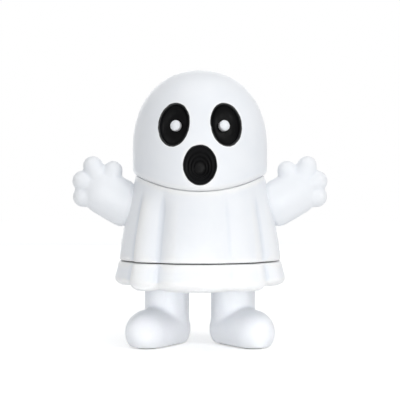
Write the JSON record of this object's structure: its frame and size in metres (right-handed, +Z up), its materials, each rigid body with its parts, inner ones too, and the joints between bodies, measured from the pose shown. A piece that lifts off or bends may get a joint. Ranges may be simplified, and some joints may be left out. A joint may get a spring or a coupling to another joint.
{
  "type": "ceramic ghost figure",
  "caption": "Standing tabletop ghost with a domed lift-off head, a folded sheet body with raised arms, a hem on two legs, and black hollow eyes and mouth.",
  "frame": {"origin": "on the ground, below the figure's upright axis", "axes": "+Z up; the face looks along -Y; +X to the figure's own left"},
  "size_m": [0.1164, 0.0698, 0.126],
  "materials": {
    "white_glaze": "gloss",
    "black_glaze": "satin",
    "dark_silicone": "matte",
    "pale_silicone": "satin",
    "felt": "matte"
  },
  "bodies": {
    "base": {"skirt_base": "white_glaze", "left_leg": "white_glaze", "right_leg": "white_glaze", "left_sole_pad": "felt", "right_sole_pad": "felt", "waist_ring": "dark_silicone"},
    "body": {"body_shell": "white_glaze", "left_arm": "white_glaze", "right_arm": "white_glaze"},
    "head": {"head_shell": "white_glaze", "left_eye_cup": "black_glaze", "right_eye_cup": "black_glaze", "mouth_cup": "black_glaze", "left_pupil": "white_glaze", "right_pupil": "white_glaze", "neck_ring": "pale_silicone"}
  },
  "joints": [
    {"name": "body_lift", "type": "slide", "parent": "base", "child": "body", "axis": [0, 0, 1], "range_m": [0, 0.02]},
    {"name": "head_lift", "type": "slide", "parent": "body", "child": "head", "axis": [0, 0, 1], "range_m": [0, 0.025]}
  ]
}
